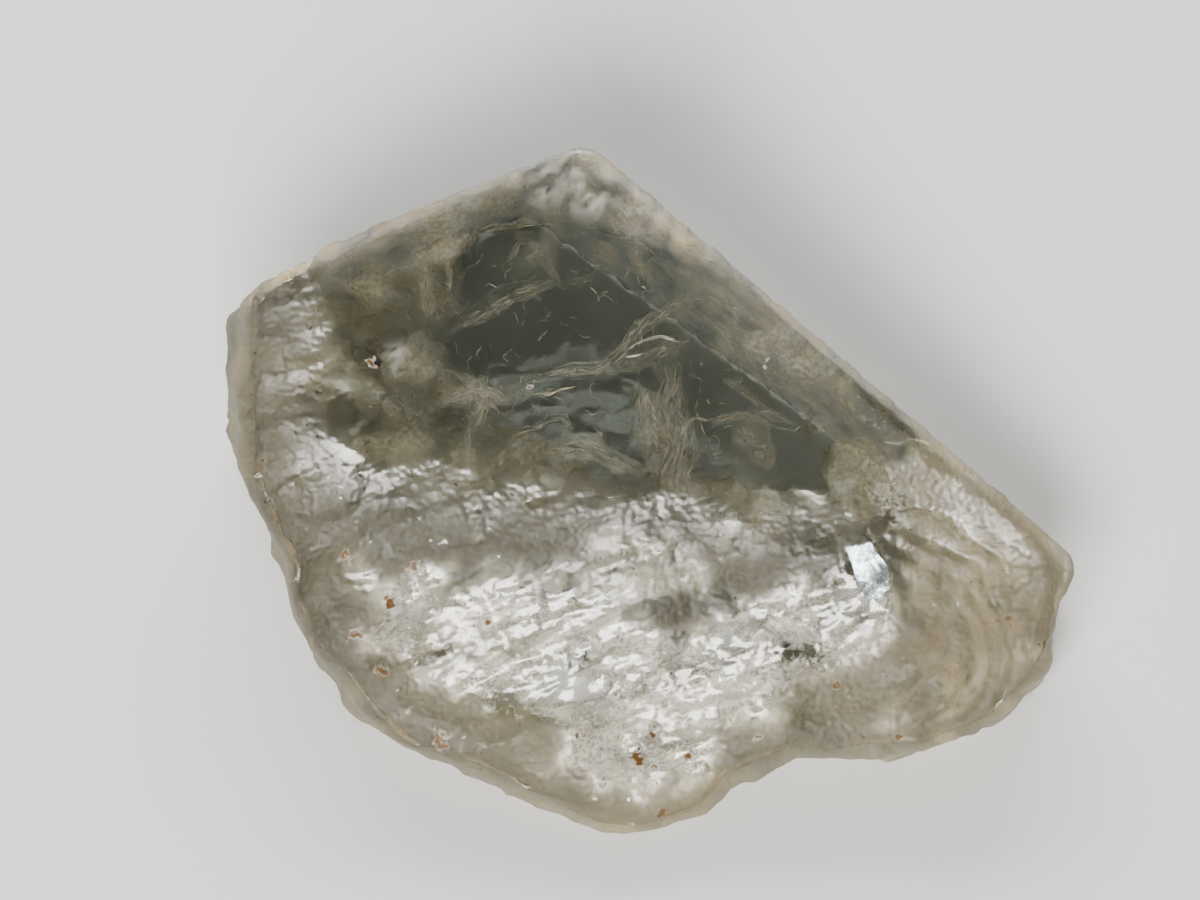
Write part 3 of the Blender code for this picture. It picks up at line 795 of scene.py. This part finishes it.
def inner_piece(name, bm, material):
    bmesh.ops.delete(bm, geom=[v for v in bm.verts if not v.link_faces], context="VERTS")
    mesh = bpy.data.meshes.new(name)
    bm.to_mesh(mesh)
    bm.free()
    material.use_transparent_shadow = False
    mesh.materials.append(material)
    piece = link(bpy.data.objects.new(name, mesh))
    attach(piece, "root")
    return piece


def threads(name, inside, material):
    """Hair-thin curls scattered through the clear window."""
    rng = np.random.default_rng(THREAD_SEED)
    rows = []
    for u0, v0, half_u, half_v, count in THREAD_FIELDS:
        for _ in range(count):
            spot = Vector((u0 + half_u * rng.uniform(-1, 1), v0 + half_v * rng.uniform(-1, 1)))
            heading = rng.uniform(-0.2, 1.0) if rng.random() < 0.7 else rng.uniform(1.3, 2.6)
            points = [spot]
            for _ in range(rng.integers(2, 7)):
                heading += rng.normal(0, 0.9)
                ahead = Vector((math.cos(heading), math.sin(heading)))
                points.append(points[-1] + rng.uniform(0.15, 0.45) * ahead)
            rows.append((points, rng.uniform(0.03, 0.08), rng.uniform(0.25, 0.6), rng.uniform(0.5, 1.0)))
    return strands(name, inside, rows, material)


def flank_streaks(inside, material):
    """Short white arcs on the rings of the right flank: painted highlights, which also catch the lamps."""
    rng = np.random.default_rng(FLANK_SEED)
    u, v = RIPPLES[:2]
    rows = []
    for _ in range(FLANK_STREAKS):
        away, start = rng.uniform(2.8, 9.2), rng.uniform(-25, 80)
        turns = [math.radians(start + k * rng.uniform(2, 6)) for k in range(5)]
        points = [(u + away * math.cos(a), v + away * math.sin(a) + 0.2 * away) for a in turns]
        rows.append((points, rng.uniform(0.05, 0.18), rng.uniform(0.08, 0.25), rng.uniform(0.5, 1.1)))
    return strands("flank_streaks", inside, rows, material)


def glints(inside, material):
    """Short white strips along the ledges of the broken front: painted glints, which also catch the lamps."""
    rng = np.random.default_rng(GLINT_SEED)
    rows = []
    while len(rows) < GLINTS:
        u, v = rng.uniform(GLINT_BOX[0], GLINT_BOX[2]), rng.uniform(GLINT_BOX[1], GLINT_BOX[3])
        if rng.random() > 0.25 + 0.75 * silver(u, v) or clear_part(Vector((u, v, 0))) > 0.8:
            continue
        heading = LEDGE_TURN + rng.normal(0, 0.35)
        reach = rng.uniform(0.2, 0.9)
        points = [(u + k * reach * math.cos(heading), v + k * reach * math.sin(heading) + rng.normal(0, 0.05))
                  for k in range(3)]
        rows.append((points, rng.uniform(0.06, 0.24), rng.uniform(0.08, 0.2), rng.uniform(0.5, 1.1)))
    return strands("front_glints", inside, rows, material)


def cracks(inside, material):
    """Thin near-black strips of painted shade where a fracture is seen edge on, and along the mirror facet's
    upper edge.
    """
    rows = [(points, width, share, CRACK_DENSITY) for points, width, share in CRACKS]
    return strands("crack_shade_strips", inside, rows, material)


def mirror_facet(inside, material):
    """One flat break under the front that reflects like a mirror."""
    bm = bmesh.new()
    front = min(inside(u, v)[0] for u, v in FACET_OUTLINE)
    middle = sum((Vector(p) for p in FACET_OUTLINE), Vector((0, 0))) / len(FACET_OUTLINE)
    corners = []
    for u, v in FACET_OUTLINE:
        n = front - FACET_DEPTH + FACET_SLOPE[0] * (u - middle.x) + FACET_SLOPE[1] * (v - middle.y)
        corners.append(bm.verts.new(to_world((u, v, n))))
    bm.faces.new(corners)
    return inner_piece("mirror_facet", bm, material)


def fan(inside, material):
    """The shell-like rings of a fracture that spreads through the right flank."""
    u0, v0, inner, outer, spacing, _ = RIPPLES

    def level(u, v, front, back):
        away = math.hypot(u - u0, v - v0) + 0.8 * noise.noise(Vector((u, v, 0)) / 2.0)
        wave = FAN_WAVE * math.sin(2 * math.pi * away / spacing)
        return front - FAN_DEPTH + wave + 0.5 * crumple(u, v, 33.0, FOIL_FOLDS[1:])

    def weight(u, v):
        away = math.hypot(u - u0, v - v0)
        warp = noise.fractal(Vector((u, v, 2)) / 1.6, 0.9, 2.1, 3)
        band = smooth_step(inner - 1.5, inner + 0.5, away) * (1 - smooth_step(outer - 1.0, outer + 1.0, away))
        return 0.55 * band * smooth_step(-0.25, 0.35, warp) * smooth_step(0.5, 3.0, u - 9.0)

    sheet("flank_rings", inside, FAN_BOX, FOIL_STEP, level, weight, material, 4 * LIFT)


def foil_weight(u, v):
    warp = 0.9 * noise.noise(Vector((u, v, 13)) / 1.3)
    return silver(u, v) * (1 - blob(u, v, FOIL_HOLES, warp))


def foil(inside):
    material = foil_finish()
    for layer, (depth, share) in enumerate(FOIL_LAYERS):
        def level(u, v, front, back, layer=layer, depth=depth):
            swell = noise.noise(Vector((u, v, 5 * layer)) / 5)
            return front - depth * (1 + 0.4 * swell) + crumple(u, v, 7.0 * layer, FOIL_FOLDS)

        def weight(u, v, layer=layer, share=share):
            spot = along_ledges(Vector((u, v, 0))) / 2.4 + Vector((0, 0, 4.0 * layer))
            patchy = noise.fractal(spot, 0.9, 2.1, 3)
            return foil_weight(u, v) * smooth_step(share - 0.35, share + 0.25, 0.5 + patchy)

        sheet(f"foil_fracture_{layer + 1}", inside, FOIL_BOX, FOIL_STEP, level, weight, material,
              (3 - layer) * LIFT)


def milky_ground(inside):
    """The white, closely cracked ground behind the silvery fractures."""
    def level(u, v, front, back):
        return front - MILK_DEPTH + crumple(u, v, 21.0, FOIL_FOLDS[:2])

    def weight(u, v):
        spot = along_ledges(Vector((u, v, 0))) / 2.0 + Vector((0, 0, 14.0))
        patchy = noise.fractal(spot, 0.9, 2.1, 3)
        return foil_weight(u, v) * smooth_step(-0.5, 0.2, patchy)

    sheet("milky_ground", inside, FOIL_BOX, MILK_STEP, level, weight, white_finish())


def haze(inside):
    """Milky veils behind the polished part of the front."""
    def level(u, v, front, back):
        swell = noise.fractal(Vector((u, v, 0)) / 4.5, 0.9, 2.0, 3)
        return front - HAZE_DEPTH * (front - back) * (1 + 0.35 * swell)

    def weight(u, v):
        spot = Vector((u, v, 0))
        patchy = noise.fractal(spot / 2.6 + SEED, 0.8, 2.1, 3)
        thin = HAZE_DENSITY * (1 - 0.97 * window(u, v))
        cloud = blob(u, v, CLOUDS, 0.9 * noise.noise(spot / 1.1))
        return max(thin, cloud) * smooth_step(-0.55, 0.45, patchy) * glassy(spot)

    sheet("haze_1", inside, HAZE_BOX, HAZE_STEP, level, weight, haze_finish(), 1.5 * LIFT)


def node_tree(name):
    mat = bpy.data.materials.new(name)
    mat.use_nodes = True
    nodes = mat.node_tree.nodes
    return mat, mat.node_tree, nodes["Principled BSDF"], nodes["Material Output"]


def new(tree, kind, **values):
    node = tree.nodes.new("ShaderNode" + kind)
    for key, value in values.items():
        if key in node.inputs:
            node.inputs[key].default_value = value
        else:
            setattr(node, key, value)
    return node


def mapped(tree, source, low, high, to_low=0.0, to_high=1.0):
    """A value taken from one range to another, and held inside it."""
    node = new(tree, "MapRange", clamp=True)
    for index, number in ((1, low), (2, high), (3, to_low), (4, to_high)):
        node.inputs[index].default_value = number
    tree.links.new(source, node.inputs[0])
    return node.outputs[0]


def combined(tree, operation, first, second):
    node = new(tree, "Math", operation=operation)
    for socket, value in zip(node.inputs, (first, second)):
        if isinstance(value, (int, float)):
            socket.default_value = value
        else:
            tree.links.new(value, socket)
    return node.outputs[0]


def attribute(tree, name):
    return new(tree, "Attribute", attribute_name=name).outputs["Fac"]


def noise_field(tree, spacing_mm, detail=3.0, stretch=(1, 1, 1), roughness=0.6):
    """Noise in object space, about as wide as the spacing."""
    place = new(tree, "TexCoord").outputs["Object"]
    mapping = new(tree, "Mapping")
    mapping.inputs["Scale"].default_value = [k / (spacing_mm * MM) for k in stretch]
    tree.links.new(place, mapping.inputs["Vector"])
    field = new(tree, "TexNoise", Scale=1.0, Detail=detail, Roughness=roughness)
    tree.links.new(mapping.outputs[0], field.inputs["Vector"])
    return field.outputs["Fac"]


def colour_mix(tree, amount, first, second):
    node = new(tree, "Mix", data_type="RGBA")
    for socket, value in ((node.inputs[6], first), (node.inputs[7], second)):
        if isinstance(value, tuple):
            socket.default_value = value
        else:
            tree.links.new(value, socket)
    tree.links.new(amount, node.inputs[0])
    return node.outputs[2]


def tinted(tree, shader, field, pair, low=0.35, high=0.65):
    """Gives the shader a colour that the field mixes from a pair."""
    colour = colour_mix(tree, mapped(tree, field, low, high), *pair)
    tree.links.new(colour, shader.inputs["Base Color"])


def beryl():
    """Clear beryl, with etched, milky and rusty places where the mesh's attributes say so."""
    mat, tree, shader, out = node_tree("clear_beryl")
    mottle = noise_field(tree, 1.7, 2.0)
    specks = noise_field(tree, 0.3, 0.0)
    frost = combined(tree, "MULTIPLY", attribute(tree, "frost"), mapped(tree, mottle, 0.3, 0.7, 0.55, 1.0))
    milk = combined(tree, "MULTIPLY", attribute(tree, "milk"), mapped(tree, mottle, 0.32, 0.62, 0.35, 1.0))
    crumbs = noise_field(tree, 0.4, 1.0)
    stain = combined(tree, "ADD", attribute(tree, "stain"), mapped(tree, crumbs, 0.25, 0.75, -1.1, 0.1))
    stain = mapped(tree, stain, 0.1, 0.4)
    warmth = combined(tree, "MULTIPLY", attribute(tree, "warm"), mapped(tree, mottle, 0.3, 0.62, 0.2, 1.2))
    tint = colour_mix(tree, mapped(tree, warmth, 0.0, 0.6), *MILK_TINTS)
    tint = colour_mix(tree, mapped(tree, warmth, 0.6, 1.4), tint, WARM_TINT)
    grainy = colour_mix(tree, mapped(tree, specks, 0.35, 0.65), *GLASS_GRAINY)
    dull = attribute(tree, "dull")
    glass = colour_mix(tree, mapped(tree, dull, 0.0, 1.0), GLASS_CLEAR, grainy)
    glass = colour_mix(tree, mapped(tree, dull, 1.0, 2.0), glass, GLASS_TAN)
    clear_or_milk = colour_mix(tree, mapped(tree, milk, 0.0, 0.3), glass, tint)
    tree.links.new(colour_mix(tree, stain, clear_or_milk, RUST), shader.inputs["Base Color"])
    past_milk = mapped(tree, milk, 0.0, 1.0, 1.0, 0.35)
    passing = combined(tree, "MULTIPLY", past_milk, mapped(tree, stain, 0.0, 1.0, 1.0, 0.1))
    tree.links.new(passing, shader.inputs["Transmission Weight"])
    polished = combined(tree, "MULTIPLY", frost, mapped(tree, crumbs, 0.68, 0.78, 1.0, GLOSSY_SPOTS))
    tree.links.new(mapped(tree, polished, 0.0, 1.0, *ROUGHNESS), shader.inputs["Roughness"])
    shader.inputs["IOR"].default_value = IOR
    bump = new(tree, "Bump", Distance=BUMP_HEIGHT)
    tree.links.new(specks, bump.inputs["Height"])
    tree.links.new(mapped(tree, frost, 0.0, 1.0, 0.0, 0.5), bump.inputs["Strength"])
    tree.links.new(bump.outputs[0], shader.inputs["Normal"])
    volume = new(tree, "VolumeAbsorption", Color=GLASS_DEEP, Density=ABSORPTION)
    tree.links.new(volume.outputs[0], out.inputs["Volume"])
    return mat


def foil_finish():
    """Thin silvery fractures: bright where a facet catches the light, open in places."""
    mat, tree, shader, out = node_tree("silvery_fracture")
    mottle = noise_field(tree, 0.8, 1.0)
    fine = noise_field(tree, 0.22, 1.0)
    tinted(tree, shader, mottle, SILVERY)
    shader.inputs["Metallic"].default_value = 0.2
    tree.links.new(mapped(tree, mottle, 0.3, 0.7, 0.3, 0.55), shader.inputs["Roughness"])
    ragged = combined(tree, "ADD", attribute(tree, "shown"), mapped(tree, fine, 0.3, 0.7, -0.45, 0.2))
    tree.links.new(mapped(tree, ragged, 0.1, 0.8, 0.0, 0.92), shader.inputs["Alpha"])
    return mat


def white_finish():
    """Densely cracked beryl, near white."""
    mat, tree, shader, out = node_tree("white_cracked")
    mottle = noise_field(tree, 0.9, 1.0)
    tinted(tree, shader, mottle, CRACKED_WHITE)
    shader.inputs["Roughness"].default_value = 0.4
    ragged = combined(tree, "ADD", attribute(tree, "shown"), mapped(tree, mottle, 0.3, 0.7, -0.35, 0.25))
    tree.links.new(mapped(tree, ragged, -0.1, 0.45, 0.0, 0.97), shader.inputs["Alpha"])
    return mat


def strand_finish(name, tints, roughness, metallic, strength):
    """Fibrous veils and threads, with their grain along their length."""
    mat, tree, shader, out = node_tree(name)
    mapping = new(tree, "Mapping")
    mapping.inputs["Scale"].default_value = STRAND_GRAIN
    grain_place = new(tree, "Attribute", attribute_name="along").outputs["Vector"]
    tree.links.new(grain_place, mapping.inputs["Vector"])
    noise_node = new(tree, "TexNoise", Scale=1.0, Detail=2.0, Roughness=0.65)
    tree.links.new(mapping.outputs[0], noise_node.inputs["Vector"])
    grain = noise_node.outputs["Fac"]
    tinted(tree, shader, grain, tints)
    shader.inputs["Roughness"].default_value = roughness
    shader.inputs["Metallic"].default_value = metallic
    ragged = combined(tree, "MULTIPLY", attribute(tree, "shown"), mapped(tree, grain, 0.42, 0.66, 0.05, 1.0))
    tree.links.new(mapped(tree, ragged, 0.0, 0.6, 0.0, strength), shader.inputs["Alpha"])
    return mat


def facet_finish():
    """A flat break that mirrors the light, its blue a painted reflection of the sky."""
    mat, tree, shader, out = node_tree("painted_sky_mirror")
    mottle = noise_field(tree, 0.6, 3.0)
    tinted(tree, shader, mottle, SKY_REFLECTION_TINTS, 0.3, 0.7)
    shader.inputs["Metallic"].default_value = 0.9
    shader.inputs["Roughness"].default_value = 0.22
    return mat


def haze_finish():
    """Milky veils of tiny inclusions, dense in places and thin in others."""
    mat, tree, shader, out = node_tree("milky_veil")
    mottle = noise_field(tree, 1.3, 1.0)
    fine = noise_field(tree, 0.3, 1.0)
    tinted(tree, shader, mottle, HAZE_TINTS)
    shader.inputs["Roughness"].default_value = 0.6
    cloud = combined(tree, "MULTIPLY", attribute(tree, "shown"), mapped(tree, fine, 0.3, 0.7, 0.4, 1.0))
    tree.links.new(mapped(tree, cloud, 0.0, 0.8, 0.0, 0.85), shader.inputs["Alpha"])
    return mat


def make_floor():
    mesh = bpy.data.meshes.new("floor")
    bm = bmesh.new()
    bmesh.ops.create_grid(bm, x_segments=1, y_segments=1, size=FLOOR_REACH)
    bm.to_mesh(mesh)
    bm.free()
    floor = link(bpy.data.objects.new("floor", mesh))
    floor.location = (0, 0, -FLOOR_GAP)
    mat, tree, shader, out = node_tree("pale_floor")
    shader.inputs["Base Color"].default_value = FLOOR_GREY
    shader.inputs["Roughness"].default_value = 0.7
    mesh.materials.append(mat)


def area_light(name, where, size, power, colour):
    lamp = bpy.data.lights.new(name, "AREA")
    lamp.shape = "RECTANGLE"
    lamp.size, lamp.size_y = size
    lamp.energy = power
    lamp.color = colour
    ob = link(bpy.data.objects.new(name, lamp))
    ob.location = where
    ob.rotation_euler = (Vector(LIGHT_TARGET) - Vector(where)).to_track_quat("-Z", "Y").to_euler()


def studio():
    world = bpy.data.worlds.new("studio")
    world.use_nodes = True
    sky = world.node_tree.nodes["Background"]
    sky.inputs["Color"].default_value = SKY_COLOUR
    sky.inputs["Strength"].default_value = SKY_STRENGTH
    bpy.context.scene.world = world
    bpy.context.scene.view_settings.look = "AgX - Medium High Contrast"
    area_light("key", *KEY_LIGHT)
    area_light("back", *BACK_LIGHT)


def camera():
    cam = bpy.data.cameras.new("camera")
    cam.sensor_width = SENSOR_MM
    cam.lens = SENSOR_MM * CAMERA_MM * PX_PER_MM / FRAME_PX[0]
    cam.clip_start = 0.01
    ob = link(bpy.data.objects.new("camera", cam))
    u = (FRAME_PX[0] / 2 - SLAB_ORIGIN_PX[0]) / PX_PER_MM
    v = (SLAB_ORIGIN_PX[1] - FRAME_PX[1] / 2) / PX_PER_MM
    ob.matrix_world = slab_matrix() @ Matrix.Translation(Vector((u, v, CAMERA_MM)) * MM)
    bpy.context.scene.camera = ob


camera()
studio()
make_floor()
crystal = fine_crystal()
shape_surface(crystal)
crystal.data.materials.append(beryl())
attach(crystal, "root")
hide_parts(NODE)
inside = Inside(crystal)
foil(inside)
milky_ground(inside)
haze(inside)
veil = strand_finish("veil", VEIL_TINTS, 0.5, 0.0, 0.6)
bright = strand_finish("bright_strand", STRAND_TINTS, 0.3, 0.6, 1.0)
strands("window_veils", inside, VEILS, veil)
strands("window_fibres", inside, fibres(VEILS), bright)
strands("bright_strands", inside, BRIGHT_STRANDS, bright)
threads("window_threads", inside, bright)
# White strips painted in as glints and highlights; they also catch the lamps
painted_glint = strand_finish("painted_glint", GLINT_TINTS, 0.22, 0.5, 0.95)
flank_streaks(inside, painted_glint)
glints(inside, painted_glint)
# Painted shade for the cracks and the mirror facet's upper edge
dark = strand_finish("painted_crack_shade", CRACK_SHADE_TINTS, 0.4, 0.0, 0.9)
cracks(inside, dark)
mirror_facet(inside, facet_finish())
fan(inside, foil_finish())
